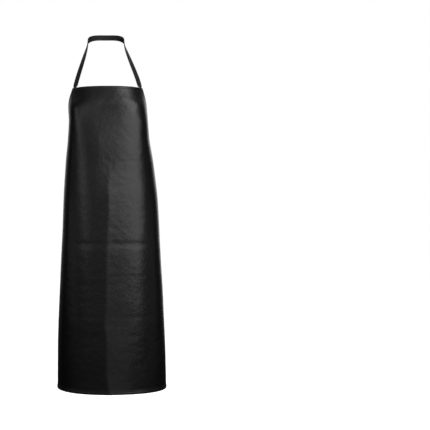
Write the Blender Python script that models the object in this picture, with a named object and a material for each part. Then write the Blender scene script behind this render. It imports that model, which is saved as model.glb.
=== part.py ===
# Black leather work apron in the form it has when worn: one panel of bib and skirt, a neck strap,
# and two waist bands joined by a clasp at the back.
# Metres, +Z up, the front at -Y. The origin is at the nape, on the inside of the neck strap.

import math
from collections import namedtuple
from functools import lru_cache

import bmesh
import bpy
import numpy as np
from mathutils import Vector

# The leather, measured flat
PANEL_LENGTH = 1.093
SKIRT_HALF_WIDTH = 0.350
BIB_HALF_WIDTH = 0.1485
ARMHOLE_DROP = 0.310
LEATHER = 0.0014
HEM_WIDTH = 0.012
HEM_LAYERS = 2

# How the leather hangs
BIB_DROP = 0.203
SIDE_SHIFT = 0.0055
HANG_HALF_WIDTH = 0.200
FRONT_REACH = 0.212
FRONT_DEPTH = 0.150
BACK_DEPTH = 0.200
HEM_FLARE = 0.0012
FLARE_LENGTH = 0.020

# Centre fold, a ridge that starts at the waist and runs down to the hem
RIDGE_HEIGHT = 0.0068
RIDGE_SPREAD_LEFT = 0.078
RIDGE_SPREAD_RIGHT = 0.047
RIDGE_START = 0.270
RIDGE_FADE = 0.140

# Creases and the dent pressed into the leather
CREASE_DEPTH = 0.0012
DENT_DEPTH = 0.0015
CREASE_HALF_WIDTH = 0.014
DENT_HALF_WIDTH = 0.018

# Neck strap
NECK_STRAP_WIDTH = 0.020
NECK_STRAP_THICKNESS = 0.0020
NECK_STRAP_SEWN = 0.034
NECK_STRAP_INSET = 0.012
NECK_HALF_WIDTH = 0.067
NECK_BACK = 0.048
NECK_RISE = 0.030
NECK_SLOPE = math.radians(42)
STRAP_OPEN_ANGLE = math.radians(36)
STRAP_OPEN_AT = 0.085
STRAP_TWIST_POWER = 2.0
STRAP_NECK_ANGLE = math.radians(75)

# Waist bands and their clasp
WAIST_BAND_WIDTH = 0.025
WAIST_BAND_THICKNESS = 0.0018
WAIST_BAND_SEWN = 0.045
WAIST_BAND_BELOW_CORNER = 0.018
CLASP_LENGTH = 0.052
CLASP_WALL = 0.0030
CLASP_LIP = 0.0040
CLASP_SLOT_SPARE = 0.0010
BAND_ROOM_COLUMNS = 1.65

GAP = 0.0003
COLUMNS_EACH_SIDE = 15
ROW_SPACING = 0.030
HEM_STEP = 0.0008
SIDE_CURVE_STEPS = 48

# Level sections of the hanging leather, from the bib's edge to the hem.
# drop: share of PANEL_LENGTH. left, right: shares of HANG_HALF_WIDTH. reach: share of FRONT_REACH.
# depth: share of FRONT_DEPTH. back: share of BACK_DEPTH. square: 2 is an ellipse, more is flatter in front.
Section = namedtuple("Section", "drop left right reach depth back square")
SECTIONS = (
    Section(0.000, 0.690, 0.690, 0.708, 0.747, 0.450, 2.4),
    Section(0.038, 0.718, 0.708, 0.771, 0.747, 0.450, 2.7),
    Section(0.074, 0.713, 0.717, 0.816, 0.740, 0.450, 3.7),
    Section(0.106, 0.703, 0.731, 0.840, 0.747, 0.475, 4.0),
    Section(0.174, 0.718, 0.763, 0.863, 0.780, 0.500, 3.6),
    Section(0.254, 0.758, 0.833, 0.877, 0.813, 0.500, 3.0),
    Section(0.361, 0.793, 0.903, 0.892, 0.833, 0.575, 2.7),
    Section(0.522, 0.830, 0.955, 0.925, 0.880, 0.700, 2.5),
    Section(0.684, 0.875, 1.013, 0.953, 0.927, 0.825, 2.4),
    Section(0.845, 0.905, 1.053, 0.981, 0.967, 0.925, 2.3),
    Section(1.000, 0.913, 1.075, 1.000, 1.000, 1.000, 2.3),
)

# Creases across the leather, left where it lay folded in quarters, and one soft dent under the bib's edge.
# drop: share of PANEL_LENGTH. middle, half_length: shares of SKIRT_HALF_WIDTH.
# rise: share of CREASE_DEPTH for a crease or of DENT_DEPTH for the dent, below 0 is pressed in.
Crease = namedtuple("Crease", "drop middle half_length rise soft")
CREASES = (
    Crease(0.060, 0.03, 0.20, -1.0, True),
    Crease(0.253, 0.25, 0.22, -0.5, False),
    Crease(0.518, 0.00, 0.78, -1.0, False),
    Crease(0.755, 0.15, 0.60, -0.5, False),
)


def clear_scene():
    for item in list(bpy.data.objects):
        bpy.data.objects.remove(item)


def smooth_step(share):
    share = min(max(share, 0.0), 1.0)
    return share * share * (3 - 2 * share)


def smooth_value(at, column):
    """A value of the section table at any drop, as a cubic through its rows."""
    places = np.array([section.drop for section in SECTIONS])
    values = np.array([getattr(section, column) for section in SECTIONS])
    slopes = np.gradient(values, places)
    row = int(np.clip(np.searchsorted(places, at) - 1, 0, len(places) - 2))
    span = places[row + 1] - places[row]
    f = (min(max(at, 0.0), 1.0) - places[row]) / span
    return (
        values[row] * (1 + 2 * f) * (1 - f) ** 2
        + slopes[row] * span * f * (1 - f) ** 2
        + values[row + 1] * f * f * (3 - 2 * f)
        + slopes[row + 1] * span * f * f * (f - 1)
    )


def front_line():
    """Height of each drop on the front line, so that the leather keeps its length where it leans."""
    drops = np.linspace(0, PANEL_LENGTH, 221)
    reach = np.array([FRONT_REACH * smooth_value(drop / PANEL_LENGTH, "reach") for drop in drops])
    fall = np.sqrt(np.diff(drops) ** 2 - np.diff(reach) ** 2)
    return drops, -BIB_DROP - np.concatenate(([0.0], np.cumsum(fall)))


LINE_DROPS, LINE_HEIGHTS = front_line()


@lru_cache(maxsize=None)
def side_curve(drop, side):
    """One level section from the front line round the side to the middle of the back."""
    share = drop / PANEL_LENGTH
    width = HANG_HALF_WIDTH * smooth_value(share, "left" if side < 0 else "right")
    reach = FRONT_REACH * smooth_value(share, "reach")
    depth = FRONT_DEPTH * smooth_value(share, "depth")
    back = BACK_DEPTH * smooth_value(share, "back")
    power = 2 / smooth_value(share, "square")
    turn = np.linspace(0, math.pi / 2, SIDE_CURVE_STEPS)
    front_x = width * np.sin(turn) ** power
    front_y = depth - reach - depth * np.abs(np.cos(turn)) ** power
    back_x = width * np.cos(turn[1:])
    back_y = depth - reach + back * np.sin(turn[1:])
    x = np.concatenate((front_x, back_x))
    y = np.concatenate((front_y, back_y))
    length = np.concatenate(([0.0], np.cumsum(np.hypot(np.diff(x), np.diff(y)))))
    return length, side * x, y


def bare_point(across, drop):
    """A place on the smooth leather. across is measured round the body from the front line."""
    length, x, y = side_curve(drop, -1 if across < 0 else 1)
    at = abs(across)
    height = float(np.interp(drop, LINE_DROPS, LINE_HEIGHTS))
    return Vector((SIDE_SHIFT + float(np.interp(at, length, x)), float(np.interp(at, length, y)), height))


def outward(across, drop):
    reach = 0.002
    low = min(max(drop, reach), PANEL_LENGTH - reach)
    along = bare_point(across + reach, low) - bare_point(across - reach, low)
    down = bare_point(across, low + reach) - bare_point(across, low - reach)
    return down.cross(along).normalized()


def half_width(drop):
    """Half of the leather's flat width: the armholes run from the bib's corners to the side corners."""
    share = min(drop / ARMHOLE_DROP, 1.0)
    return BIB_HALF_WIDTH + (SKIRT_HALF_WIDTH - BIB_HALF_WIDTH) * (0.75 * share + 0.25 * share * share)


def crease_rise(crease, across, drop):
    half = DENT_HALF_WIDTH if crease.soft else CREASE_HALF_WIDTH
    depth = DENT_DEPTH if crease.soft else CREASE_DEPTH
    away = abs(drop - crease.drop * PANEL_LENGTH) / half
    along = abs(across - crease.middle * SKIRT_HALF_WIDTH) / (crease.half_length * SKIRT_HALF_WIDTH)
    return crease.rise * depth * smooth_step(1 - away) * smooth_step(2 - 2 * along)


def relief(across, drop):
    """How far the folds lift the leather off its smooth form."""
    spread = RIDGE_SPREAD_LEFT if across < 0 else RIDGE_SPREAD_RIGHT
    lift = RIDGE_HEIGHT * math.exp(-abs(across) / spread) * smooth_step((drop - RIDGE_START) / RIDGE_FADE)
    flare = HEM_FLARE * smooth_step(abs(across) / HANG_HALF_WIDTH)
    lift += flare * smooth_step((drop - PANEL_LENGTH + FLARE_LENGTH) / FLARE_LENGTH)
    for crease in CREASES:
        lift += crease_rise(crease, across, drop)
    return lift


def leather_point(across, drop, depth):
    """A place in the panel. depth is measured inwards from the outer face."""
    return bare_point(across, drop) + outward(across, drop) * (relief(across, drop) - depth)


def panel_rows():
    """The drops of the panel's mesh rows: even ones, and closer ones in the hems and at the creases."""
    inner = HEM_WIDTH + HEM_STEP
    fixed = [0.0, HEM_WIDTH, inner, ARMHOLE_DROP]
    for crease in CREASES:
        half = DENT_HALF_WIDTH if crease.soft else CREASE_HALF_WIDTH
        place = crease.drop * PANEL_LENGTH
        fixed += [place - half, place - half / 2, place, place + half / 2, place + half]
    fixed += [PANEL_LENGTH - FLARE_LENGTH, PANEL_LENGTH - inner, PANEL_LENGTH - HEM_WIDTH, PANEL_LENGTH]
    rows = sorted(fixed)
    for drop in np.linspace(0, PANEL_LENGTH, round(PANEL_LENGTH / ROW_SPACING) + 1):
        if min(abs(drop - row) for row in fixed) > ROW_SPACING / 3:
            rows.append(float(drop))
    return sorted(rows)


def panel_columns(drop):
    """The mesh columns of one row, measured round the body from the front line."""
    edge = half_width(drop)
    inner = edge - HEM_WIDTH - HEM_STEP
    even = [inner * step / COLUMNS_EACH_SIDE for step in range(1 - COLUMNS_EACH_SIDE, COLUMNS_EACH_SIDE)]
    return [-edge, HEM_WIDTH - edge, -inner] + even + [inner, edge - HEM_WIDTH, edge]


def material(name, colour, roughness):
    made = bpy.data.materials.new(name)
    made.use_nodes = True
    shader = made.node_tree.nodes["Principled BSDF"]
    shader.inputs["Base Color"].default_value = (*colour, 1.0)
    shader.inputs["Roughness"].default_value = roughness
    shader.inputs["Metallic"].default_value = 0.0
    return made


def add_object(name, work, finish, smooth=False):
    """Turns a bmesh into a named object of the scene."""
    bmesh.ops.recalc_face_normals(work, faces=work.faces)
    mesh = bpy.data.meshes.new(name)
    work.to_mesh(mesh)
    work.free()
    mesh.materials.append(finish)
    if smooth:
        mesh.shade_smooth()
        mesh.set_sharp_from_angle(angle=math.radians(40))
    made = bpy.data.objects.new(name, mesh)
    bpy.context.scene.collection.objects.link(made)
    return made


def make_panel(finish):
    """Bib and skirt: an outer and an inner skin, joined round the edge, two layers thick in the hems."""
    work = bmesh.new()
    rows = panel_rows()
    outer = []
    inner = []
    last = len(rows) - 1
    for i, drop in enumerate(rows):
        columns = panel_columns(drop)
        end = len(columns) - 1
        outer.append([])
        inner.append([])
        for j, across in enumerate(columns):
            in_hem = min(i, last - i) < 2 or min(j, end - j) < 2
            depth = LEATHER * HEM_LAYERS if in_hem else LEATHER
            outer[i].append(work.verts.new(leather_point(across, drop, 0.0)))
            inner[i].append(work.verts.new(leather_point(across, drop, depth)))
    for i in range(last):
        for j in range(end):
            work.faces.new((outer[i][j], outer[i][j + 1], outer[i + 1][j + 1], outer[i + 1][j]))
            work.faces.new((inner[i][j], inner[i + 1][j], inner[i + 1][j + 1], inner[i][j + 1]))
    for i in range(last):
        for j in (0, end):
            work.faces.new((outer[i][j], outer[i + 1][j], inner[i + 1][j], inner[i][j]))
    for j in range(end):
        for i in (0, last):
            work.faces.new((outer[i][j], outer[i][j + 1], inner[i][j + 1], inner[i][j]))
    return add_object("apron_panel", work, finish, smooth=True)


def make_band(name, places, normals, width, thickness, finish):
    """A flat band along a line of places, whose face looks along the normal at each place."""
    work = bmesh.new()
    rings = []
    for i, place in enumerate(places):
        along = (places[min(i + 1, len(places) - 1)] - places[max(i - 1, 0)]).normalized()
        face = (normals[i] - along * normals[i].dot(along)).normalized()
        across = along.cross(face)
        corners = []
        for a, b in ((-1, -1), (1, -1), (1, 1), (-1, 1)):
            corners.append(work.verts.new(place + across * a * width / 2 + face * b * thickness / 2))
        rings.append(corners)
    for ring, following in zip(rings, rings[1:]):
        for k in range(4):
            work.faces.new((ring[k], ring[(k + 1) % 4], following[(k + 1) % 4], following[k]))
    work.faces.new(rings[0])
    work.faces.new(reversed(rings[-1]))
    return add_object(name, work, finish)


def behind_leather(thickness):
    """Depth of a band's middle where it is sewn to the inner face, over the turned hem."""
    return LEATHER * HEM_LAYERS + GAP + thickness / 2


def curve_room(across, drop, span):
    """How far a straight stretch of this span stands off the curved inner face."""
    turn = outward(across - span / 2, drop).angle(outward(across + span / 2, drop))
    return span * turn / 8


def column_spacing(drop):
    return half_width(drop) / COLUMNS_EACH_SIDE


def neck_side(side):
    """Places and normals of half the neck strap, from its sewn end up to the middle of the nape."""
    across = side * (BIB_HALF_WIDTH - NECK_STRAP_INSET)
    room = curve_room(across, 0, NECK_STRAP_WIDTH + column_spacing(0))
    depth = behind_leather(NECK_STRAP_THICKNESS) + room
    places = []
    normals = []
    for drop in np.linspace(NECK_STRAP_SEWN, 0, 5):
        places.append(bare_point(across, drop) - outward(across, drop) * depth)
        normals.append(outward(across, drop))
    half = NECK_STRAP_THICKNESS / 2
    start = places[-1]
    start_way = (places[-1] - places[-2]).normalized()
    end = Vector((side * (NECK_HALF_WIDTH + half), -NECK_BACK, -NECK_RISE))
    end_way = Vector((0, math.cos(NECK_SLOPE), math.sin(NECK_SLOPE)))
    pull = (end - start).length
    guides = (start, start + start_way * pull * 0.25, end - end_way * pull * 0.28, end)
    bib_angle = math.atan2(abs(normals[-1].x), -normals[-1].y)
    for f in np.linspace(0, 1, 17)[1:]:
        weights = ((1 - f) ** 3, 3 * f * (1 - f) ** 2, 3 * f * f * (1 - f), f ** 3)
        place = Vector((0, 0, 0))
        for weight, guide in zip(weights, guides):
            place += guide * weight
        angle = bib_angle + (STRAP_OPEN_ANGLE - bib_angle) * smooth_step(f / STRAP_OPEN_AT)
        turned = max(f - STRAP_OPEN_AT, 0) / (1 - STRAP_OPEN_AT)
        angle += (STRAP_NECK_ANGLE - angle) * turned**STRAP_TWIST_POWER
        places.append(place)
        normals.append(Vector((side * math.sin(angle), -math.cos(angle), 0)))
    steepness = NECK_BACK * math.tan(NECK_SLOPE) / NECK_RISE
    for turn in np.linspace(0, math.pi / 2, 15)[1:]:
        rise = NECK_RISE * (1 - math.sin(turn)) ** steepness
        x = side * (NECK_HALF_WIDTH + half) * math.cos(turn)
        places.append(Vector((x, half - (NECK_BACK + half) * (1 - math.sin(turn)), -rise)))
        angle = turn - (math.pi / 2 - STRAP_NECK_ANGLE) * (1 - math.sin(turn)) ** 2
        normals.append(Vector((side * math.cos(angle), math.sin(angle), 0)))
    return places, normals


def make_neck_strap(finish):
    left, left_normals = neck_side(-1)
    right, right_normals = neck_side(1)
    places = left + right[-2::-1]
    normals = left_normals + right_normals[-2::-1]
    return make_band("neck_strap", places, normals, NECK_STRAP_WIDTH, NECK_STRAP_THICKNESS, finish)


def waist_drop():
    return ARMHOLE_DROP + WAIST_BAND_BELOW_CORNER + WAIST_BAND_WIDTH / 2


def waist_depth():
    """Depth of the waist bands' middle, clear of the leather where it curves behind the side corners."""
    drop = waist_drop()
    across = SKIRT_HALF_WIDTH - WAIST_BAND_SEWN
    room = max(curve_room(side * across, drop, BAND_ROOM_COLUMNS * column_spacing(drop)) for side in (-1, 1))
    return behind_leather(WAIST_BAND_THICKNESS) + room


def waist_back():
    """Where the middle of the waist bands crosses the middle of the back."""
    share = waist_drop() / PANEL_LENGTH
    middle = FRONT_DEPTH * smooth_value(share, "depth") - FRONT_REACH * smooth_value(share, "reach")
    y = middle + BACK_DEPTH * smooth_value(share, "back") - waist_depth()
    return Vector((SIDE_SHIFT, y, float(np.interp(waist_drop(), LINE_DROPS, LINE_HEIGHTS))))


def make_waist_band(name, side, finish):
    """From its sewn end behind a side corner, round the back and into the clasp."""
    drop = waist_drop()
    depth = waist_depth()
    back = waist_back()
    total = side_curve(drop, side)[0][-1]
    start = SKIRT_HALF_WIDTH - WAIST_BAND_SEWN
    places = []
    normals = []
    for across in np.linspace(start, total, 25):
        face = outward(side * across, drop)
        face = Vector((face.x, face.y, 0)).normalized()
        place = bare_point(side * across, drop) - face * depth
        away = abs(place.x - back.x)
        if away < CLASP_LENGTH / 2 + 0.004:
            break
        straight = smooth_step(2 - 2 * away / CLASP_LENGTH)
        places.append(Vector((place.x, place.y + (back.y - place.y) * straight, back.z)))
        normals.append(face)
    for away in (CLASP_LENGTH / 2 + 0.002, CLASP_LENGTH / 2 - CLASP_LIP, CLASP_SLOT_SPARE):
        places.append(back + Vector((side * away, 0, 0)))
        normals.append(Vector((0, 1, 0)))
    return make_band(name, places, normals, WAIST_BAND_WIDTH, WAIST_BAND_THICKNESS, finish)


def make_clasp(finish):
    """A plain sleeve with a through slot that holds the ends of both waist bands."""
    back = waist_back()
    slot_half = (GAP + WAIST_BAND_THICKNESS / 2, GAP + WAIST_BAND_WIDTH / 2)
    body_half = (slot_half[0] + CLASP_WALL, slot_half[1] + CLASP_LIP)
    work = bmesh.new()
    rings = []
    for x in (-CLASP_LENGTH / 2, CLASP_LENGTH / 2):
        for half in (body_half, slot_half):
            ring = []
            for a, b in ((-1, -1), (1, -1), (1, 1), (-1, 1)):
                ring.append(work.verts.new(back + Vector((x, a * half[0], b * half[1]))))
            rings.append(ring)
    outer_left, slot_left, outer_right, slot_right = rings
    for k in range(4):
        n = (k + 1) % 4
        work.faces.new((outer_left[k], outer_left[n], outer_right[n], outer_right[k]))
        work.faces.new((slot_left[n], slot_left[k], slot_right[k], slot_right[n]))
        work.faces.new((outer_left[n], outer_left[k], slot_left[k], slot_left[n]))
        work.faces.new((outer_right[k], outer_right[n], slot_right[n], slot_right[k]))
    return add_object("waist_clasp", work, finish)


def main():
    clear_scene()
    leather = material("black_leather", (0.012, 0.012, 0.013), 0.42)
    webbing = material("black_strap", (0.014, 0.014, 0.015), 0.60)
    plastic = material("black_clasp", (0.020, 0.020, 0.021), 0.45)
    make_panel(leather)
    make_neck_strap(webbing)
    make_waist_band("waist_strap_left", -1, webbing)
    make_waist_band("waist_strap_right", 1, webbing)
    make_clasp(plastic)


main()
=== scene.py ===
import math

import bpy
import numpy as np
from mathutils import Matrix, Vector, noise


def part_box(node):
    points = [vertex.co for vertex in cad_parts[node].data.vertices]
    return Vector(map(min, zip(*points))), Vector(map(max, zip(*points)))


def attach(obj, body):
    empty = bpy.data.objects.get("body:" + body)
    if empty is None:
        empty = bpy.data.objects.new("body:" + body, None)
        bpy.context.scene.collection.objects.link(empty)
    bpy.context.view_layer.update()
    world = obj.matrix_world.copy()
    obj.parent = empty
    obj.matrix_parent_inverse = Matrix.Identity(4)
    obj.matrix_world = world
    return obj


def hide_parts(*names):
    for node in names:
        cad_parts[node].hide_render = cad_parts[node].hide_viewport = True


# A black leather work apron, seen from straight in front. Metres, +Z up, the front at -Y.

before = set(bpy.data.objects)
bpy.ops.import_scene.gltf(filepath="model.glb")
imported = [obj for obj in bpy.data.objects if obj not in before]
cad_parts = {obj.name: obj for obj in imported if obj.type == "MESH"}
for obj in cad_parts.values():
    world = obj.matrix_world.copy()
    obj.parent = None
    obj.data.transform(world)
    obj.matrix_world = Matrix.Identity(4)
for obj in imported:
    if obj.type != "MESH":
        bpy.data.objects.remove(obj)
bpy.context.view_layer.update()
print("frame loaded")


def deselectAll():
    if bpy.context.mode != "OBJECT":
        bpy.ops.object.mode_set(mode="OBJECT")
    bpy.ops.object.select_all(action="DESELECT")


def makeActive(piece):
    deselectAll()
    piece.select_set(True)
    bpy.context.view_layer.objects.active = piece


def applyModifiers(piece):
    makeActive(piece)
    for modifier in list(piece.modifiers):
        bpy.ops.object.modifier_apply(modifier=modifier.name)


def smoothShade(piece, angle):
    makeActive(piece)
    bpy.ops.object.shade_smooth_by_angle(angle=math.radians(angle))


def smoothStep(share):
    share = np.clip(share, 0.0, 1.0)
    return share * share * (3 - 2 * share)


# How the leather hangs: the real sizes of the cut and of the form that it takes when worn

panelLow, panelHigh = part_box("apron_panel")

hang = {
    "length": 1.093,  # leather from bib edge to hem
    "skirtHalf": 0.350,  # half of the flat skirt
    "bibHalf": 0.1485,  # half of the flat bib edge
    "armholeDrop": 0.310,
    "armholeBow": 0.25,  # how much the armholes bow in
    "sideShift": 0.0055,  # middle of the leather, right of the middle of the neck
    "wall": 0.0014,
    "hemWidth": 0.012,
    "flare": 0.0012,  # how far the hem turns out at the sides, over this length
    "flareLength": 0.020,
    "halfWidth": 0.200,
    "reach": 0.212,  # from the nape forward to the front line
    "depth": 0.150,  # from the front line back to the widest place
    "back": 0.200,  # from the widest place to the middle of the back
    "top": panelHigh.z,
    "lineSteps": 440,
    "curvePoints": 160,
}

# Level sections from the bib's edge to the hem: drop is a share of the length, left and right are shares
# of halfWidth, reach, depth and back of theirs, and square is 2 for an ellipse, more for a flatter front
sectionColumns = ("drop", "left", "right", "reach", "depth", "back", "square")
sectionRows = (
    (0.000, 0.690, 0.690, 0.708, 0.747, 0.450, 2.4),
    (0.038, 0.718, 0.708, 0.771, 0.747, 0.450, 2.7),
    (0.074, 0.713, 0.717, 0.816, 0.740, 0.450, 3.7),
    (0.106, 0.703, 0.731, 0.840, 0.747, 0.475, 4.0),
    (0.174, 0.721, 0.764, 0.863, 0.780, 0.500, 3.6),
    (0.254, 0.763, 0.838, 0.877, 0.813, 0.500, 3.0),
    (0.361, 0.797, 0.911, 0.892, 0.833, 0.575, 2.8),
    (0.522, 0.832, 0.961, 0.925, 0.880, 0.700, 2.6),
    (0.684, 0.875, 1.013, 0.953, 0.927, 0.825, 2.4),
    (0.845, 0.905, 1.053, 0.981, 0.967, 0.925, 2.3),
    (1.000, 0.913, 1.075, 1.000, 1.000, 1.000, 2.3),
)
sections = {name: np.array([row[i] for row in sectionRows]) for i, name in enumerate(sectionColumns)}


def throughRows(at, column):  # a smooth value between the rows of the table
    places = sections["drop"]
    values = sections[column]
    slopes = np.gradient(values, places)
    at = np.clip(at, 0.0, 1.0)
    row = np.clip(np.searchsorted(places, at) - 1, 0, len(places) - 2)
    span = places[row + 1] - places[row]
    f = (at - places[row]) / span
    return (
        values[row] * (1 + 2 * f) * (1 - f) ** 2
        + slopes[row] * span * f * (1 - f) ** 2
        + values[row + 1] * f * f * (3 - 2 * f)
        + slopes[row + 1] * span * f * f * (f - 1)
    )


lineDrops = np.linspace(0, hang["length"], hang["lineSteps"] + 1)
lineReach = hang["reach"] * throughRows(lineDrops / hang["length"], "reach")
lineFall = np.sqrt(np.diff(lineDrops) ** 2 - np.diff(lineReach) ** 2)
lineHeights = hang["top"] - np.concatenate(([0.0], np.cumsum(lineFall)))


def sideCurve(drop, side):  # one level section, from the front line to the middle of the back
    share = drop / hang["length"]
    width = hang["halfWidth"] * throughRows(share, "left" if side < 0 else "right")
    reach = hang["reach"] * throughRows(share, "reach")
    depth = hang["depth"] * throughRows(share, "depth")
    back = hang["back"] * throughRows(share, "back")
    power = 2 / throughRows(share, "square")
    turn = np.linspace(0, math.pi / 2, hang["curvePoints"])
    x = np.concatenate((width * np.sin(turn) ** power, width * np.cos(turn[1:])))
    front = depth - reach - depth * np.abs(np.cos(turn)) ** power
    y = np.concatenate((front, depth - reach + back * np.sin(turn[1:])))
    length = np.concatenate(([0.0], np.cumsum(np.hypot(np.diff(x), np.diff(y)))))
    return length, side * x, y


def barePoints(across, drop):  # smooth leather: across is measured round the body from the front line
    across = np.atleast_1d(across).astype(float)
    points = np.empty((len(across), 3))
    points[:, 2] = np.interp(drop, lineDrops, lineHeights)
    for side in (-1, 1):
        chosen = across < 0 if side < 0 else across >= 0
        length, x, y = sideCurve(drop, side)
        points[chosen, 0] = hang["sideShift"] + np.interp(np.abs(across[chosen]), length, x)
        points[chosen, 1] = np.interp(np.abs(across[chosen]), length, y)
    return points


def facing(across, drop):  # outward normals of the smooth leather
    step = 0.002
    middle = min(max(drop, step), hang["length"] - step)
    along = barePoints(across + step, middle) - barePoints(across - step, middle)
    down = barePoints(across, middle + step) - barePoints(across, middle - step)
    normals = np.cross(down, along)
    return normals / np.linalg.norm(normals, axis=1)[:, None]


def halfWidth(drop):  # half of the flat width, which grows along the armholes
    share = min(drop / hang["armholeDrop"], 1.0)
    grown = (1 - hang["armholeBow"]) * share + hang["armholeBow"] * share * share
    return hang["bibHalf"] + (hang["skirtHalf"] - hang["bibHalf"]) * grown


# Folds, creases and dents, and the turned hem

folds = {
    "ridgeHeight": 0.0068,
    "ridgeSpreadLeft": 0.078,
    "ridgeSpreadRight": 0.047,
    "ridgeTip": 0.0016,  # radius of its top
    "ridgeStart": 0.270,  # where it begins below the bib's edge, and how soon it is full
    "ridgeFade": 0.140,
    "creaseBreak": 0.022,  # how near the ridge a crease weakens
    "waveHeight": 0.0007,
    "waveLength": 0.075,
    "waveStretch": 0.8,  # below 1 the waves are longer down the leather than across it
    "waveSeed": 3.7,
    "rippleHeight": 0.00030,
    "rippleLength": 0.020,
    "rippleSeed": 9.1,
    "calmEdge": 0.030,  # waves and ripples die out this near the edge
}

# The ridge down the middle wanders a little: drop is a share of the length, shift of halfWidth
wanderRows = (
    (0.00, 0.02),
    (0.44, 0.02),
    (0.52, -0.012),
    (0.71, -0.012),
    (0.77, -0.045),
    (0.82, -0.01),
    (0.94, -0.01),
    (1.00, 0.04),
)

# A crease sinks over "above" and comes back over "below". Drop is a share of the length, middle and
# halfLength are shares of skirtHalf, depth, above and below are in metres. Kept is the share of the depth
# that crosses the ridge, and worn is how strongly a painted highlight, a lighter tone that also roughens
# the leather a little, is laid along it
creaseColumns = ("drop", "middle", "halfLength", "depth", "above", "below", "kept", "worn")
creaseRows = (
    (0.067, 0.09, 0.27, 0.0014, 0.022, 0.024, 1.00, 0.0),
    (0.253, 0.25, 0.22, 0.0003, 0.009, 0.006, 0.25, 0.1),
    (0.331, 0.18, 0.20, 0.0002, 0.009, 0.006, 0.25, 0.1),
    (0.518, 0.00, 0.58, 0.0008, 0.014, 0.024, 0.25, 0.15),
    (0.622, 0.20, 0.24, 0.0002, 0.008, 0.008, 0.25, 0.1),
    (0.755, 0.15, 0.60, 0.0003, 0.010, 0.008, 0.25, 0.3),
)
creases = [dict(zip(creaseColumns, row)) for row in creaseRows]

hem = {
    "roll": 0.0014,  # radius of the folded edge
    "foldStep": 0.0008,  # the inner layer ends over this width
    "puff": 0.0004,  # the doubled leather stands up this much
    "puffRise": 0.003,
    "puffFall": 0.004,
    "grooveAt": 0.0092,
    "grooveHalf": 0.0010,
    "grooveDepth": 0.0006,
}

# where the painted highlight lies: beside the creases, along the ridge and on the hem's rolled edge
rubbedAndHighlight = {
    "belowCrease": 0.004,
    "ridge": 0.5,
    "ridgeHalf": 0.008,
    "edge": 0.5,
    "edgeWidth": 0.003,
}


def ridgeAt(drop):  # where the ridge runs, measured from the front line
    drops, shifts = zip(*wanderRows)
    return hang["halfWidth"] * float(np.interp(drop / hang["length"], drops, shifts))


def creaseRise(crease, across, drop):
    away = drop - crease["drop"] * hang["length"]
    fall = smoothStep(1 + away / crease["above"]) if away < 0 else smoothStep(1 - away / crease["below"])
    along = np.abs(across / hang["skirtHalf"] - crease["middle"]) / crease["halfLength"]
    apart = smoothStep(np.abs(across - ridgeAt(drop)) / folds["creaseBreak"])
    broken = crease["kept"] + (1 - crease["kept"]) * apart
    return -crease["depth"] * fall * smoothStep(2 - 2 * along) * broken


def ridgeStrength(drop):
    return smoothStep((drop - folds["ridgeStart"]) / folds["ridgeFade"])


def ridgeRise(across, drop):
    away = across - ridgeAt(drop)
    reach = np.sqrt(away * away + folds["ridgeTip"] ** 2) - folds["ridgeTip"]
    spread = np.where(away < 0, folds["ridgeSpreadLeft"], folds["ridgeSpreadRight"])
    return folds["ridgeHeight"] * np.exp(-reach / spread) * ridgeStrength(drop)


def foldRelief(across, drop):
    flare = hang["flare"] * smoothStep(np.abs(across) / hang["halfWidth"])
    lift = ridgeRise(across, drop)
    lift = lift + flare * smoothStep((drop - hang["length"] + hang["flareLength"]) / hang["flareLength"])
    for crease in creases:
        lift = lift + creaseRise(crease, across, drop)
    return lift


def waveRelief(across, drop):
    lift = np.empty(len(across))
    waveDown = drop / folds["waveLength"] * folds["waveStretch"]
    rippleDown = drop / folds["rippleLength"]
    for k, a in enumerate(across):
        broad = noise.noise(Vector((a / folds["waveLength"], waveDown, folds["waveSeed"])))
        fine = noise.noise(Vector((a / folds["rippleLength"], rippleDown, folds["rippleSeed"])))
        lift[k] = folds["waveHeight"] * broad + folds["rippleHeight"] * fine
    return lift


def edgeDistance(across, drop):
    side = halfWidth(drop) - np.abs(across)
    return np.minimum(side, min(drop, hang["length"] - drop))


def withinHem(across, drop, blend):  # 1 where the leather is doubled, 0 where it is single
    return smoothStep((hang["hemWidth"] + blend / 2 - edgeDistance(across, drop)) / blend)


def rollDrop(across, drop):  # how far the folded edge has rounded off
    roll = hem["roll"]
    inside = np.clip(roll - edgeDistance(across, drop), 0, roll)
    return roll - np.sqrt(np.maximum(roll * roll - inside * inside, 0))


def hemRelief(across, drop):
    away = edgeDistance(across, drop)
    puff = hem["puff"] * smoothStep(away / hem["puffRise"]) * withinHem(across, drop, hem["puffFall"])
    groove = hem["grooveDepth"] * np.exp(-(((away - hem["grooveAt"]) / hem["grooveHalf"]) ** 2))
    return puff - rollDrop(across, drop) - groove


panel = {
    "columnsEachSide": 66,
    "rowSpacing": 0.0052,
    # grid lines of the hem, measured from the edge
    "edgeSteps": (
        0.0, 0.0003, 0.0008, 0.0014, 0.003, 0.005, 0.0072, 0.0082, 0.0092, 0.0102, 0.0116, 0.0124, 0.014
    ),
}


def panelRows():
    steps = panel["edgeSteps"]
    even = np.linspace(steps[-1], hang["length"] - steps[-1], round(hang["length"] / panel["rowSpacing"]))
    return np.concatenate((steps[:-1], even, [hang["length"] - step for step in steps[-2::-1]]))


def panelColumns(drop):
    steps = np.array(panel["edgeSteps"])
    edge = halfWidth(drop)
    count = panel["columnsEachSide"]
    ridge = ridgeAt(drop)
    left = np.linspace(steps[-1] - edge, ridge, count + 1)
    right = np.linspace(ridge, edge - steps[-1], count + 1)
    return np.concatenate((steps[:-1] - edge, left, right[1:], edge - steps[-2::-1]))


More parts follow.
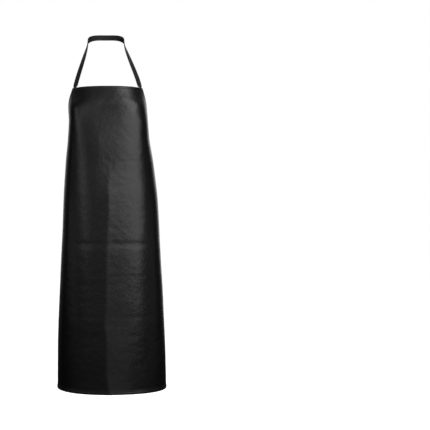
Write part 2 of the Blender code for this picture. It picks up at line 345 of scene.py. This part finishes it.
def gridMesh(name, layers, uv, marks):  # two skins of a sheet, joined round their edge
    rows, columns = layers[0].shape[:2]
    outer, inner = (np.arange(rows * columns).reshape(rows, columns) + k * rows * columns for k in (0, 1))
    corners = [
        np.stack((outer[:-1, :-1], outer[1:, :-1], outer[1:, 1:], outer[:-1, 1:]), -1).reshape(-1, 4),
        np.stack((inner[:-1, :-1], inner[:-1, 1:], inner[1:, 1:], inner[1:, :-1]), -1).reshape(-1, 4),
    ]
    for a, b, flip in ((outer[:, 0], inner[:, 0], False), (outer[:, -1], inner[:, -1], True)):
        side = np.stack((a[:-1], b[:-1], b[1:], a[1:]), -1)
        corners.append(side[:, ::-1] if flip else side)
    for a, b, flip in ((outer[0], inner[0], True), (outer[-1], inner[-1], False)):
        side = np.stack((a[:-1], b[:-1], b[1:], a[1:]), -1)
        corners.append(side[:, ::-1] if flip else side)
    faces = np.concatenate(corners)
    points = np.concatenate([layer.reshape(-1, 3) for layer in layers])
    mesh = bpy.data.meshes.new(name)
    mesh.from_pydata(points.tolist(), [], faces.tolist())
    flat = mesh.uv_layers.new(name="flat")
    both = np.concatenate((uv.reshape(-1, 2), uv.reshape(-1, 2)))
    flat.data.foreach_set("uv", both[faces.ravel()].ravel())
    for label, values in marks.items():
        mark = mesh.attributes.new(label, "FLOAT", "POINT")
        mark.data.foreach_set("value", np.concatenate([part.ravel() for part in values]))
    piece = bpy.data.objects.new(name, mesh)
    bpy.context.scene.collection.objects.link(piece)
    mesh.shade_smooth()
    return piece


def leatherSkins(across, drop):  # outer face, inner face and normals of the finished leather
    base = barePoints(across, drop)
    normals = facing(across, drop)
    calm = smoothStep(edgeDistance(across, drop) / folds["calmEdge"])
    lift = foldRelief(across, drop) + waveRelief(across, drop) * calm + hemRelief(across, drop)
    wall = hang["wall"] * (1 + withinHem(across, drop, hem["foldStep"]))
    sunk = lift + 2 * rollDrop(across, drop) - wall
    return base + normals * lift[:, None], base + normals * sunk[:, None], normals


def buildPanel():
    grid = {name: [] for name in ("outer", "inner", "normal", "uv", "worn", "hemmed")}
    for drop in panelRows():
        across = panelColumns(drop)
        outer, inner, normals = leatherSkins(across, drop)
        grid["outer"].append(outer)
        grid["inner"].append(inner)
        grid["normal"].append(normals)
        grid["uv"].append(np.stack((across, np.full(len(across), -drop)), -1))
        # painted highlight mask: where a lighter tone goes along creases, the ridge and the hem's roll
        grid["worn"].append(wearAndHighlightAt(across, drop))
        grid["hemmed"].append(withinHem(across, drop, hem["foldStep"]))
    grid = {name: np.array(rows) for name, rows in grid.items()}
    marks = {
        "cloth": (grid["hemmed"] * 0, 1 - grid["hemmed"]),
        "wear": (grid["worn"], grid["worn"] * 0),
    }
    return gridMesh("leather_panel", (grid["outer"], grid["inner"]), grid["uv"], marks), grid


def skinAt(across, drop, name):  # a place or normal of the built leather, read between its grid lines
    drops = -leatherGrid["uv"][:, 0, 1]
    row = min(int(np.searchsorted(drops, drop, side="right")) - 1, len(drops) - 2)
    share = (drop - drops[row]) / (drops[row + 1] - drops[row])
    found = np.zeros(3)
    for k, weight in ((row, 1 - share), (row + 1, share)):
        columns = leatherGrid["uv"][k, :, 0]
        values = leatherGrid[name][k]
        found += weight * np.array([np.interp(across, columns, values[:, axis]) for axis in range(3)])
    return found


def wearAndHighlightAt(across, drop):  # where a painted highlight goes, a lighter tone that also roughens the leather a little: along creases, the ridge and the hem's roll
    worn = np.zeros(len(across))
    for crease in creases:
        sunk = -creaseRise(crease, across, drop + rubbedAndHighlight["belowCrease"]) / crease["depth"]
        worn = np.maximum(worn, crease["worn"] * sunk)
    ridge = smoothStep(1 - np.abs(across - ridgeAt(drop)) / rubbedAndHighlight["ridgeHalf"]) * ridgeStrength(drop)
    edge = smoothStep(1 - edgeDistance(across, drop) / rubbedAndHighlight["edgeWidth"])
    return np.maximum(np.maximum(worn, ridge * rubbedAndHighlight["ridge"]), edge * rubbedAndHighlight["edge"])


leatherPanel, leatherGrid = buildPanel()
print("leather panel built", len(leatherPanel.data.polygons))


# Straps: flat webbing along a route, with its rounded section turned to face where the route faces

webbing = {
    "gap": 0.0003,
    "panelColumn": hang["bibHalf"] / 15,  # width of a flat column of the CAD panel at the bib
    "sectionPoints": 24,
    "sideRound": 0.45,
    "edgeRound": 0.35,
    "sag": 0.00012,  # the middle of the weave lies lower than its two selvedges
    "selvedge": 0.35,  # share of the half width over which it sinks
}

neckStrap = {
    "width": 0.020,
    "thickness": 0.0020,
    "sewn": 0.034,
    "inset": 0.0120,  # from the bib's corner to the strap's middle
    "openAngle": math.radians(36),  # how far it faces sideways where it has left the bib
    "openAt": 0.085,  # share of the way to the neck where that is
    "twist": 2.0,  # above 1 it turns later on its way to the neck
    "neckAngle": math.radians(75),  # how far it faces sideways where it meets the neck
    "neckHalf": 0.067,
    "neckBack": 0.048,
    "neckRise": 0.030,
    "slope": math.radians(42),  # how steeply it meets the neck
    "startPull": 0.25,
    "endPull": 0.28,
    "sewnSteps": 14,
    "hungSteps": 100,
    "napeSteps": 60,
}

waistBand = {
    "width": 0.025,
    "thickness": 0.0018,
    "sewn": 0.045,
    "drop": hang["armholeDrop"] + 0.018 + 0.025 / 2,  # below the corner of the armhole, to its middle
    "roomSpan": 1.65 * hang["skirtHalf"] / 15,  # the stretch of curved leather that its end stands off
    "approach": 0.004,  # straight stretch in front of the clasp
    "steps": 121,
}

clasp = {
    "length": 0.052,
    "wall": 0.0030,
    "lip": 0.0040,
    "slotSpare": 0.0010,
    "edge": 0.0011,
    "edgeSteps": 4,
}


def barePoint(across, drop):
    return barePoints(across, drop)[0]


def outward(across, drop):
    return facing(across, drop)[0]


def angleBetween(first, second):
    return math.acos(min(float(np.dot(first, second)), 1.0))


def standOff(across, drop, span):  # room that a straight stretch needs behind the curved leather
    return span * angleBetween(outward(across - span / 2, drop), outward(across + span / 2, drop)) / 8


def behindLeather(thickness):
    return 2 * hang["wall"] + webbing["gap"] + thickness / 2


def neckRoute(side):  # from the sewn end behind the bib up to the middle of the nape
    across = side * (hang["bibHalf"] - neckStrap["inset"])
    room = standOff(across, 0, neckStrap["width"] + webbing["panelColumn"])
    depth = behindLeather(neckStrap["thickness"]) + room
    places = []
    faces = []
    for drop in np.linspace(neckStrap["sewn"], 0, neckStrap["sewnSteps"]):
        faces.append(outward(across, drop))
        places.append(barePoint(across, drop) - faces[-1] * depth)
    half = neckStrap["thickness"] / 2
    start = places[-1]
    startWay = (places[-1] - places[-2]) / np.linalg.norm(places[-1] - places[-2])
    end = np.array((side * (neckStrap["neckHalf"] + half), -neckStrap["neckBack"], -neckStrap["neckRise"]))
    endWay = np.array((0, math.cos(neckStrap["slope"]), math.sin(neckStrap["slope"])))
    pull = np.linalg.norm(end - start)
    first = start + startWay * pull * neckStrap["startPull"]
    second = end - endWay * pull * neckStrap["endPull"]
    bibAngle = math.atan2(abs(faces[-1][0]), -faces[-1][1])
    for f in np.linspace(0, 1, neckStrap["hungSteps"] + 1)[1:]:
        bend = first * 3 * f * (1 - f) ** 2 + second * 3 * f * f * (1 - f)
        places.append(start * (1 - f) ** 3 + bend + end * f**3)
        angle = bibAngle + (neckStrap["openAngle"] - bibAngle) * smoothStep(f / neckStrap["openAt"])
        turned = max(f - neckStrap["openAt"], 0) / (1 - neckStrap["openAt"])
        angle = angle + (neckStrap["neckAngle"] - angle) * turned ** neckStrap["twist"]
        faces.append(np.array((side * math.sin(angle), -math.cos(angle), 0)))
    steepness = neckStrap["neckBack"] * math.tan(neckStrap["slope"]) / neckStrap["neckRise"]
    for turn in np.linspace(0, math.pi / 2, neckStrap["napeSteps"] + 1)[1:]:
        rise = neckStrap["neckRise"] * (1 - math.sin(turn)) ** steepness
        x = side * (neckStrap["neckHalf"] + half) * math.cos(turn)
        places.append(np.array((x, half - (neckStrap["neckBack"] + half) * (1 - math.sin(turn)), -rise)))
        angle = turn - (math.pi / 2 - neckStrap["neckAngle"]) * (1 - math.sin(turn)) ** 2
        faces.append(np.array((side * math.cos(angle), math.sin(angle), 0)))
    return places, faces


def strapSection(width, thickness):  # rounded flat outline, across the strap and along its face
    turn = np.linspace(0, 2 * math.pi, webbing["sectionPoints"], endpoint=False)
    flat = np.sign(np.cos(turn)) * np.abs(np.cos(turn)) ** webbing["sideRound"]
    tall = np.sign(np.sin(turn)) * np.abs(np.sin(turn)) ** webbing["edgeRound"]
    dip = webbing["sag"] * smoothStep((1 - np.abs(flat)) / webbing["selvedge"])
    return flat * width / 2, tall * (thickness / 2 - dip)


def strapMesh(name, places, faces, width, thickness):
    places = np.array(places)
    along = np.gradient(places, axis=0)
    along /= np.linalg.norm(along, axis=1)[:, None]
    faces = np.array(faces)
    faces = faces - along * (faces * along).sum(1)[:, None]
    faces /= np.linalg.norm(faces, axis=1)[:, None]
    across = np.cross(along, faces)
    flat, tall = strapSection(width, thickness)
    rings = places[:, None] + across[:, None] * flat[None, :, None] + faces[:, None] * tall[None, :, None]
    count = len(flat)
    run = np.concatenate(([0.0], np.cumsum(np.linalg.norm(np.diff(places, axis=0), axis=1))))
    corner = np.arange(len(places) * count).reshape(len(places), count)
    following = np.roll(corner, -1, axis=1)
    quads = np.stack((corner[:-1], following[:-1], following[1:], corner[1:]), -1).reshape(-1, 4)
    shape = quads.tolist() + [corner[0, ::-1].tolist(), corner[-1].tolist()]
    mesh = bpy.data.meshes.new(name)
    mesh.from_pydata(rings.reshape(-1, 3).tolist(), [], shape)
    flatMap = mesh.uv_layers.new(name="flat")
    places2d = np.stack(np.broadcast_arrays(run[:, None], flat[None, :]), -1).reshape(-1, 2)
    corners = np.concatenate([np.array(face) for face in shape])
    flatMap.data.foreach_set("uv", places2d[corners].ravel())
    piece = bpy.data.objects.new(name, mesh)
    bpy.context.scene.collection.objects.link(piece)
    recalculate(piece)
    smoothShade(piece, 50)
    return piece


def recalculate(piece):
    makeActive(piece)
    bpy.ops.object.mode_set(mode="EDIT")
    bpy.ops.mesh.select_all(action="SELECT")
    bpy.ops.mesh.normals_make_consistent(inside=False)
    bpy.ops.object.mode_set(mode="OBJECT")


def buildNeckWebbing():
    left, leftFaces = neckRoute(-1)
    right, rightFaces = neckRoute(1)
    route = left + right[-2::-1]
    faces = leftFaces + rightFaces[-2::-1]
    return strapMesh("neck_webbing", route, faces, neckStrap["width"], neckStrap["thickness"])


def waistDepth():
    across = hang["skirtHalf"] - waistBand["sewn"]
    room = max(standOff(side * across, waistBand["drop"], waistBand["roomSpan"]) for side in (-1, 1))
    return behindLeather(waistBand["thickness"]) + room


def waistBack():  # where the bands cross the middle of the back
    share = waistBand["drop"] / hang["length"]
    middle = hang["depth"] * throughRows(share, "depth") - hang["reach"] * throughRows(share, "reach")
    y = middle + hang["back"] * throughRows(share, "back") - waistDepth()
    return np.array((hang["sideShift"], y, np.interp(waistBand["drop"], lineDrops, lineHeights)))


def buildWaistBand(name, side):
    back = waistBack()
    total = sideCurve(waistBand["drop"], side)[0][-1]
    places = []
    faces = []
    for across in np.linspace(hang["skirtHalf"] - waistBand["sewn"], total, waistBand["steps"]):
        face = outward(side * across, waistBand["drop"])
        face = np.array((face[0], face[1], 0)) / math.hypot(face[0], face[1])
        place = barePoint(side * across, waistBand["drop"]) - face * waistDepth()
        away = abs(place[0] - back[0])
        if away < clasp["length"] / 2 + waistBand["approach"]:
            break
        straight = smoothStep(2 - 2 * away / clasp["length"])
        places.append(np.array((place[0], place[1] + (back[1] - place[1]) * straight, back[2])))
        faces.append(face)
    half = clasp["length"] / 2
    for away in (half + waistBand["approach"] / 2, half - clasp["lip"], clasp["slotSpare"]):
        places.append(back + np.array((side * away, 0, 0)))
        faces.append(np.array((0, 1, 0)))
    return strapMesh(name, places, faces, waistBand["width"], waistBand["thickness"])


def buildClasp():  # a sleeve with a slot right through it, its edges rounded
    back = Vector(waistBack())
    slot = (webbing["gap"] + waistBand["thickness"] / 2, webbing["gap"] + waistBand["width"] / 2)
    body = (slot[0] + clasp["wall"], slot[1] + clasp["lip"])
    deselectAll()
    bpy.ops.mesh.primitive_cube_add(size=1, location=back)
    sleeve = bpy.context.active_object
    sleeve.name = "clasp_sleeve"
    sleeve.scale = (clasp["length"], 2 * body[0], 2 * body[1])
    bpy.ops.object.transform_apply(location=True, rotation=True, scale=True)
    bpy.ops.object.mode_set(mode="EDIT")
    bpy.ops.mesh.select_mode(type="FACE")
    bpy.ops.mesh.select_all(action="DESELECT")
    bpy.ops.object.mode_set(mode="OBJECT")
    for face in sleeve.data.polygons:
        face.select = round(abs(face.normal.x)) == 1
    bpy.ops.object.mode_set(mode="EDIT")
    bpy.ops.mesh.inset(thickness=clasp["wall"])
    tall = slot[1] / (body[1] - clasp["wall"])
    bpy.ops.transform.resize(value=(1, 1, tall), center_override=back)
    bpy.ops.mesh.bridge_edge_loops()
    bpy.ops.object.mode_set(mode="OBJECT")
    rounding = sleeve.modifiers.new("rounding", "BEVEL")
    rounding.width = clasp["edge"]
    rounding.segments = clasp["edgeSteps"]
    rounding.limit_method = "ANGLE"
    applyModifiers(sleeve)
    smoothShade(sleeve, 35)
    return sleeve


neckWebbing = buildNeckWebbing()
waistBands = {
    "left": buildWaistBand("waist_webbing_left", -1),
    "right": buildWaistBand("waist_webbing_right", 1),
}
claspSleeve = buildClasp()
print("straps and clasp built")

# Stitches: one thread tube for each, laid in the groove of the hem and in boxes over the strap ends

stitching = {
    "pitch": 0.0036,
    "share": 0.74,  # of the pitch that shows as thread
    "radius": 0.00028,
    "proud": 0.00016,
    "sunk": 0.00034,
    "sides": 5,
    "sideSteps": 160,
    "boxMargin": 0.003,
}


def alongLine(points):  # even stitch holes along a line of (across, drop) places
    points = np.array(points)
    run = np.concatenate(([0.0], np.cumsum(np.linalg.norm(np.diff(points, axis=0), axis=1))))
    holes = np.linspace(0, run[-1], max(2, round(run[-1] / stitching["pitch"]) + 1))
    return np.stack((np.interp(holes, run, points[:, 0]), np.interp(holes, run, points[:, 1])), -1)


def hemLines():
    at = hem["grooveAt"]
    length = hang["length"]
    top = halfWidth(at) - at
    low = halfWidth(length) - at
    lines = [((-top, at), (top, at)), ((-low, length - at), (low, length - at))]
    for side in (-1, 1):
        drops = np.linspace(at, length - at, stitching["sideSteps"])
        lines.append([(side * (halfWidth(drop) - at), drop) for drop in drops])
    return lines


def boxLines(middle, drop, halfAcross, halfDown):  # a stitched box with a cross in it
    leftHigh = (middle - halfAcross, drop - halfDown)
    rightHigh = (middle + halfAcross, drop - halfDown)
    rightLow = (middle + halfAcross, drop + halfDown)
    leftLow = (middle - halfAcross, drop + halfDown)
    return [
        (leftHigh, rightHigh),
        (rightHigh, rightLow),
        (rightLow, leftLow),
        (leftLow, leftHigh),
        (leftHigh, rightLow),
        (rightHigh, leftLow),
    ]


def strapLines():
    lines = []
    for side in (-1, 1):
        margin = stitching["boxMargin"]
        across = side * (hang["bibHalf"] - neckStrap["inset"])
        high = hang["hemWidth"] + margin
        low = neckStrap["sewn"] - margin
        lines += boxLines(across, (high + low) / 2, neckStrap["width"] / 2 - margin, (low - high) / 2)
        inner = hang["skirtHalf"] - waistBand["sewn"] + margin
        outer = hang["skirtHalf"] - hang["hemWidth"] - margin
        half = waistBand["width"] / 2 - margin
        lines += boxLines(side * (inner + outer) / 2, waistBand["drop"], (outer - inner) / 2, half)
    return lines


def threads(lines, skins):  # starts, ends and normals of every stitch; each skin comes with its way out
    starts = []
    ends = []
    normals = []
    for line in lines:
        holes = alongLine(line)
        for hole, following in zip(holes, holes[1:]):
            stop = hole + (following - hole) * stitching["share"]
            for skin, way in skins:
                starts.append(skinAt(*hole, skin))
                ends.append(skinAt(*stop, skin))
                normals.append(skinAt(*hole, "normal") * way)
    return np.array(starts), np.array(ends), np.array(normals)


def buildStitches(name, lines, skins):
    starts, ends, normals = threads(lines, skins)
    sides = stitching["sides"]
    turn = np.linspace(0, 2 * math.pi, sides, endpoint=False)
    along = ends - starts
    across = np.cross(along, normals)
    across /= np.linalg.norm(across, axis=1)[:, None]
    shape = (
        # share of the length, height over the leather, share of the radius
        (0.0, -stitching["sunk"], 0.5),
        (0.16, 0.0, 0.9),
        (0.5, stitching["proud"], 1.0),
        (0.84, 0.0, 0.9),
        (1.0, -stitching["sunk"], 0.5),
    )
    rings = []
    for share, lift, thin in shape:
        middle = starts + along * share + normals * lift
        radius = stitching["radius"] * thin
        rings.append(
            middle[:, None]
            + across[:, None] * (np.cos(turn) * radius)[None, :, None]
            + normals[:, None] * (np.sin(turn) * radius)[None, :, None]
        )
    points = np.stack(rings, 1).reshape(-1, 3)
    count = len(shape) * sides
    quads = []
    for first in range(0, count - sides, sides):
        for k in range(sides):
            n = (k + 1) % sides
            quads.append((first + k, first + n, first + sides + n, first + sides + k))
    caps = (tuple(range(sides))[::-1], tuple(range(count - sides, count)))
    shapes = []
    for i in range(len(starts)):
        shapes += [[i * count + corner for corner in face] for face in quads + list(caps)]
    mesh = bpy.data.meshes.new(name)
    mesh.from_pydata(points.tolist(), [], shapes)
    piece = bpy.data.objects.new(name, mesh)
    bpy.context.scene.collection.objects.link(piece)
    recalculate(piece)
    smoothShade(piece, 60)
    return piece


hemStitches = buildStitches("hem_stitches", hemLines(), (("outer", 1), ("inner", -1)))
strapStitches = buildStitches("strap_stitches", strapLines(), (("outer", 1),))
print("stitches sewn", len(hemStitches.data.polygons) + len(strapStitches.data.polygons))


# Shader writing: a socket that takes part in Python expressions

class Wire:
    def __init__(self, tree, socket=None):
        self.tree = tree
        self.socket = socket

    def node(self, kind, settings=None, values=None, output=0):
        made = self.tree.nodes.new(kind)
        for name, value in (settings or {}).items():
            if name == "stops":
                for place, tone in value[1:-1]:
                    made.color_ramp.elements.new(place)
                for element, (place, tone) in zip(made.color_ramp.elements, value):
                    element.position = place
                    element.color = (tone, tone, tone, 1)
            else:
                setattr(made, name, value)
        for name, value in (values or {}).items():
            if isinstance(value, Wire):
                self.tree.links.new(value.socket, made.inputs[name])
            else:
                made.inputs[name].default_value = value
        return Wire(self.tree, made.outputs[output])

    def maths(self, operation, first, second=0.0):
        return self.node("ShaderNodeMath", {"operation": operation}, {0: first, 1: second})

    def __add__(self, other):
        return self.maths("ADD", self, other)

    def __radd__(self, other):
        return self.maths("ADD", other, self)

    def __sub__(self, other):
        return self.maths("SUBTRACT", self, other)

    def __rsub__(self, other):
        return self.maths("SUBTRACT", other, self)

    def __mul__(self, other):
        return self.maths("MULTIPLY", self, other)

    def __rmul__(self, other):
        return self.maths("MULTIPLY", other, self)

    def mixColour(self, first, second):  # this wire is the factor
        return self.node("ShaderNodeMix", {"data_type": "RGBA"}, {0: self, 6: first, 7: second}, 2)


def newMaterial(name, values):
    made = bpy.data.materials.new(name)
    made.use_nodes = True
    shader = made.node_tree.nodes["Principled BSDF"]
    for socket, value in values.items():
        shader.inputs[socket].default_value = value
    return made, shader, Wire(made.node_tree)


def feed(shader, wire, socket):
    wire.tree.links.new(wire.socket, shader.inputs[socket])


def noiseOn(place, scale, detail, roughness=0.5):  # soft random tones over a place wire
    values = {"Vector": place, "Scale": scale, "Detail": detail, "Roughness": roughness}
    return place.node("ShaderNodeTexNoise", {}, values)


def feedBump(shader, height, strength, distance):
    values = {"Strength": strength, "Distance": distance, "Height": height}
    feed(shader, height.node("ShaderNodeBump", {}, values), "Normal")


def setMaterial(piece, made):
    piece.data.materials.clear()
    piece.data.materials.append(made)


leatherLook = {
    "dark": (0.0062, 0.0062, 0.0066, 1),
    "light": (0.0105, 0.0104, 0.0106, 1),
    # the lighter tone of the painted highlight along creases, the ridge and the hem's roll
    "rubbedAndHighlight": (0.0300, 0.0295, 0.0290, 1),
    "cloth": (0.0500, 0.0500, 0.0520, 1),
    "clothLight": (0.0780, 0.0780, 0.0800, 1),
    "clothRoughness": 0.92,
    # strength of that painted highlight
    "rubbingAndHighlight": 0.8,
    "roughness": 0.22,  # of the smoothest places
    "rumple": 0.0004,  # height of the unevenness a finger's breadth across
    "grain": 0.0005,
}


def leatherMaterial():
    made, shader, start = newMaterial("blackLeather", {"Metallic": 0.0, "Specular IOR Level": 0.5})
    flat = start.node("ShaderNodeUVMap", {"uv_map": "flat"})
    cloth = start.node("ShaderNodeAttribute", {"attribute_name": "cloth"}, output=2)
    wear = start.node("ShaderNodeAttribute", {"attribute_name": "wear"}, output=2)
    pebbles = start.node(
        "ShaderNodeTexVoronoi",
        {"feature": "SMOOTH_F1"},
        {"Vector": flat, "Scale": 620.0, "Smoothness": 0.6},
    )
    pores = noiseOn(flat, 1500.0, 3.0)
    rumple = noiseOn(flat, 75.0, 3.0, 0.55)
    patches = noiseOn(flat, 9.0, 5.0, 0.6)
    specks = noiseOn(flat, 120.0, 4.0)
    skin = patches.mixColour(leatherLook["dark"], leatherLook["light"])
    # painted highlight: a speckled lighter tone along creases, the ridge and the hem's roll
    skin = (wear * specks * leatherLook["rubbingAndHighlight"]).mixColour(skin, leatherLook["rubbedAndHighlight"])
    threads = start.node(
        "ShaderNodeTexVoronoi",
        {"feature": "F1"},
        {"Vector": flat, "Scale": 1100.0, "Randomness": 0.35},
    )
    backing = threads.mixColour(leatherLook["clothLight"], leatherLook["cloth"])
    feed(shader, cloth.mixColour(skin, backing), "Base Color")
    skinRough = patches * 0.10 + specks * 0.06 + wear * 0.05 + leatherLook["roughness"]
    feed(shader, skinRough + cloth * (leatherLook["clothRoughness"] - skinRough), "Roughness")
    swell = start.node(
        "ShaderNodeBump",
        {},
        {"Strength": 1.0, "Distance": leatherLook["rumple"], "Height": rumple * (1 - cloth)},
    )
    height = (pebbles * 0.7 + pores * 0.3) * (1 - cloth) + threads * cloth
    grain = start.node(
        "ShaderNodeBump",
        {},
        {"Strength": 0.25, "Distance": leatherLook["grain"], "Height": height, "Normal": swell},
    )
    feed(shader, grain, "Normal")
    return made


webbingLook = {
    "dark": (0.0105, 0.0105, 0.0112, 1),
    "light": (0.0185, 0.0185, 0.0195, 1),
    "rib": 0.0011,  # width of one warp rib
    "pick": 0.0015,  # length of one weft float
    "roughness": 0.62,
}

threadLook = {
    "dark": (0.0100, 0.0100, 0.0106, 1),
    "roughness": 0.55,
}

plasticLook = {
    "dark": (0.0090, 0.0090, 0.0094, 1),
    "light": (0.0150, 0.0150, 0.0156, 1),
    "roughness": 0.38,
}


def webbingMaterial():
    made, shader, start = newMaterial("blackWebbing", {"Metallic": 0.0})
    flat = start.node("ShaderNodeUVMap", {"uv_map": "flat"})
    along = flat.node("ShaderNodeSeparateXYZ", {}, {"Vector": flat}, "X")
    across = flat.node("ShaderNodeSeparateXYZ", {}, {"Vector": flat}, "Y")
    rib = across * (1 / webbingLook["rib"])
    ribNumber = start.maths("FLOOR", rib)
    ribTop = start.maths("SINE", start.maths("FRACT", rib) * math.pi)
    pick = start.maths("SINE", along * (2 * math.pi / webbingLook["pick"]) + ribNumber * math.pi)
    weave = ribTop * (pick * 0.3 + 0.7)
    fuzz = noiseOn(flat, 900.0, 3.0)
    faded = noiseOn(flat, 35.0, 2.0)
    tone = weave * (faded * 0.6 + 0.4)
    feed(shader, tone.mixColour(webbingLook["dark"], webbingLook["light"]), "Base Color")
    feed(shader, webbingLook["roughness"] + fuzz * 0.2, "Roughness")
    feedBump(shader, weave + fuzz * 0.4, 0.4, 0.0004)
    return made


def threadMaterial():
    made, shader, start = newMaterial("blackThread", {"Metallic": 0.0})
    place = start.node("ShaderNodeTexCoord", output="Object")
    twist = noiseOn(place, 1900.0, 2.0)
    feed(shader, threadLook["roughness"] + twist * 0.2, "Roughness")
    feed(shader, twist.mixColour(threadLook["dark"], webbingLook["light"]), "Base Color")
    feedBump(shader, twist, 0.4, 0.0002)
    return made


def plasticMaterial():
    made, shader, start = newMaterial("blackPlastic", {"Metallic": 0.0})
    place = start.node("ShaderNodeTexCoord", output="Object")
    moulded = noiseOn(place, 1400.0, 2.0)
    scuffs = noiseOn(place, 90.0, 5.0)
    feed(shader, scuffs.mixColour(plasticLook["dark"], plasticLook["light"]), "Base Color")
    feed(shader, plasticLook["roughness"] + scuffs * 0.15, "Roughness")
    feedBump(shader, moulded, 0.2, 0.0003)
    return made


setMaterial(leatherPanel, leatherMaterial())
blackWebbing = webbingMaterial()
for strap in (neckWebbing, waistBands["left"], waistBands["right"]):
    setMaterial(strap, blackWebbing)
blackThread = threadMaterial()
for stitches in (hemStitches, strapStitches):
    setMaterial(stitches, blackThread)
setMaterial(claspSleeve, plasticMaterial())
print("leather, webbing, thread and plastic painted")


# Camera: level, straight in front, with the apron at the left of the frame as in the photograph

photo = {
    "frame": 430,
    "middleColumn": 106.0,  # column of the middle of the neck
    "horizonRow": 215.0,
    "metresPerPixel": 0.00375,  # at the nape's depth
    "distance": 3.0,
    "eyeHeight": -0.664,
    "sensor": 36.0,
}


def makeCamera():
    lens = bpy.data.cameras.new("camera")
    lens.sensor_width = photo["sensor"]
    lens.lens = photo["sensor"] * photo["distance"] / (photo["frame"] * photo["metresPerPixel"])
    lens.shift_x = (photo["frame"] / 2 - photo["middleColumn"]) / photo["frame"]
    lens.shift_y = (photo["horizonRow"] - photo["frame"] / 2) / photo["frame"]
    camera = bpy.data.objects.new("camera", lens)
    bpy.context.scene.collection.objects.link(camera)
    camera.location = (0, -photo["distance"], photo["eyeHeight"])
    camera.rotation_euler = (math.pi / 2, 0, 0)
    bpy.context.scene.camera = camera


makeCamera()

# Light: tall soft boxes to the right, dim strips to the left and the sides, weak rims, lamps high up behind
# that show the backing, and a soft room above

lighting = {
    "aim": (0.0, -0.08, -0.55),
    "boxes": (
        # name, azimuth, height of its middle, distance, width, height, power
        ("rightBox", 28.5, 0.15, 2.40, 2.05, 1.70, 20.0),
        ("rightTop", 38.0, 2.00, 2.40, 1.45, 2.00, 27.0),
        ("rightLow", 16.0, -1.45, 2.40, 0.90, 0.90, 0.8),
        ("leftTop", -24.0, 0.85, 2.40, 1.50, 0.80, 1.9),
        ("leftStrip", -50.0, 0.20, 2.40, 0.46, 2.60, 3.6),
        ("leftSide", -75.0, -0.75, 2.40, 0.70, 1.60, 0.9),
        ("rightSide", 78.0, -0.90, 2.40, 0.90, 1.40, 0.6),
        ("rimLeft", -155.0, 0.10, 2.40, 1.30, 2.20, 4.0),
        ("rimRight", 150.0, -0.10, 2.40, 1.30, 2.40, 9.0),
        ("backLeft", -150.0, 2.50, 2.10, 1.60, 1.40, 70.0),
        ("backRight", 150.0, 2.50, 2.10, 1.60, 1.40, 70.0),
    ),
    # the room's tone from straight down to straight up, and its strength from front to back
    "upward": ((0.0, 0.0), (0.40, 0.0), (0.60, 0.30), (1.0, 0.30)),
    "backward": ((0.0, 1.0), (0.18, 1.0), (0.35, 0.05), (0.75, 0.1), (0.9, 0.7), (1.0, 0.7)),
}


def makeLights():
    aim = Vector(lighting["aim"])
    for name, azimuth, height, distance, width, tall, power in lighting["boxes"]:
        glow = bpy.data.lights.new(name, "AREA")
        glow.shape = "RECTANGLE"
        glow.size = width
        glow.size_y = tall
        glow.energy = power
        lamp = bpy.data.objects.new(name, glow)
        bpy.context.scene.collection.objects.link(lamp)
        angle = math.radians(azimuth)
        lamp.location = (distance * math.sin(angle), -distance * math.cos(angle), height)
        toward = Vector((aim.x - lamp.location.x, aim.y - lamp.location.y, 0))
        lamp.rotation_euler = toward.to_track_quat("-Z", "Z").to_euler()
        lamp.visible_camera = False


def makeWorld():
    world = bpy.data.worlds.new("studio")
    bpy.context.scene.world = world
    world.use_nodes = True
    tree = world.node_tree
    tree.nodes.clear()
    start = Wire(tree)
    way = start.node("ShaderNodeTexCoord", output="Generated")
    up = way.node("ShaderNodeSeparateXYZ", {}, {"Vector": way}, "Z")
    rear = way.node("ShaderNodeSeparateXYZ", {}, {"Vector": way}, "Y")
    glow = start.node("ShaderNodeValToRGB", {"stops": lighting["upward"]}, {"Fac": up * 0.5 + 0.5})
    power = start.node("ShaderNodeValToRGB", {"stops": lighting["backward"]}, {"Fac": rear * 0.5 + 0.5})
    room = start.node("ShaderNodeBackground", {}, {"Color": glow, "Strength": power})
    paper = start.node("ShaderNodeBackground", {}, {"Color": (1, 1, 1, 1), "Strength": 1.0})
    seen = start.node("ShaderNodeLightPath", output="Is Camera Ray")
    mixed = start.node("ShaderNodeMixShader", {}, {0: seen, 1: room, 2: paper})
    output = tree.nodes.new("ShaderNodeOutputWorld")
    tree.links.new(mixed.socket, output.inputs["Surface"])


paperFloor = {
    "size": 14.0,
    "behind": 2.0,
    "below": 0.32,  # under the hem
    "look": {
        "Base Color": (0.8, 0.8, 0.8, 1),
        "Roughness": 0.9,
        "Emission Color": (1, 1, 1, 1),
        "Emission Strength": 1.0,
    },
}


def makeFloor():
    deselectAll()
    place = (0, paperFloor["behind"], panelLow.z - paperFloor["below"])
    bpy.ops.mesh.primitive_plane_add(size=paperFloor["size"], location=place)
    floor = bpy.context.active_object
    floor.name = "floor"
    setMaterial(floor, newMaterial("paperFloor", paperFloor["look"])[0])
    floor.visible_glossy = False
    floor.visible_diffuse = False


makeLights()
makeWorld()
makeFloor()
bpy.context.scene.view_settings.view_transform = "Standard"
print("camera and lights set")

pieces = (
    # piece, slot, CAD node that it replaces
    (leatherPanel, "leather", "apron_panel"),
    (neckWebbing, "strap", "neck_strap"),
    (waistBands["left"], "strap", "waist_strap_left"),
    (waistBands["right"], "strap", "waist_strap_right"),
    (claspSleeve, "clasp", "waist_clasp"),
    (hemStitches, "strap", None),
    (strapStitches, "strap", None),
)
for piece, slot, node in pieces:
    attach(piece, "root")
    if node:
        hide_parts(node)
